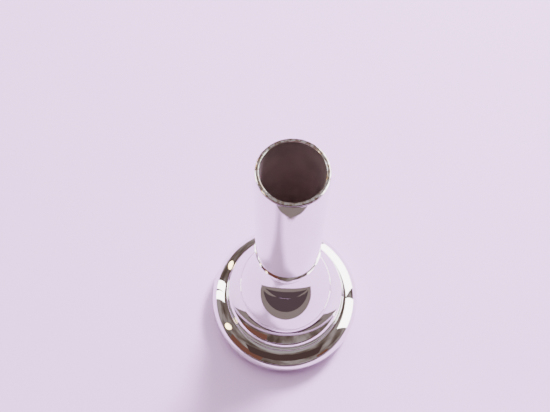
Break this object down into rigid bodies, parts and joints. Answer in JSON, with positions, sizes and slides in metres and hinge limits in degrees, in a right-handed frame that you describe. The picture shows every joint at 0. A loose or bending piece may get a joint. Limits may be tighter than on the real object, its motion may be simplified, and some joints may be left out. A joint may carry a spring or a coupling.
{
  "type": "brass instrument mouthpiece",
  "caption": "Screw-together brass instrument mouthpiece: rounded rim, flared bowl cup, narrow neck and a long tapered shank.",
  "frame": {"origin": "on the bore axis, in the plane of the rim's face, which is the lowest point as it stands", "axes": "+Z along the bore from the rim to the shank's open end"},
  "size_m": [0.038, 0.038, 0.076],
  "materials": {
    "rim_plate": "polished silver plate over brass",
    "cup_plate": "polished silver plate over brass",
    "shank_plate": "polished silver plate over brass, worn at the open end",
    "seal_rubber": "matt black nitrile"
  },
  "bodies": {
    "rim": {"rim": "rim_plate"},
    "rim_seal": {"cup_o_ring": "seal_rubber"},
    "cup": {"cup": "cup_plate"},
    "shank_seal": {"shank_o_ring": "seal_rubber"},
    "shank": {"shank": "shank_plate"}
  },
  "joints": [
    {"name": "cup_lift", "type": "slide", "parent": "rim", "child": "rim_seal", "axis": [0, 0, 1], "range_m": [0, 0.00301]},
    {"name": "cup_turn", "type": "hinge", "parent": "rim_seal", "child": "cup", "pos_m": [0, 0, 0], "axis": [0, 0, 1], "range_deg": [0, 1440]},
    {"name": "shank_turn", "type": "hinge", "parent": "cup", "child": "shank_seal", "pos_m": [0, 0, 0.0436], "axis": [0, 0, 1], "range_deg": [0, 2160]},
    {"name": "shank_lift", "type": "slide", "parent": "shank_seal", "child": "shank", "axis": [0, 0, 1], "range_m": [0, 0.00451]}
  ],
  "couplings": [
    {"joint": "cup_lift", "follows": "cup_turn", "m_per_rad": 0.00011937},
    {"joint": "shank_lift", "follows": "shank_turn", "m_per_rad": 0.00011937}
  ]
}
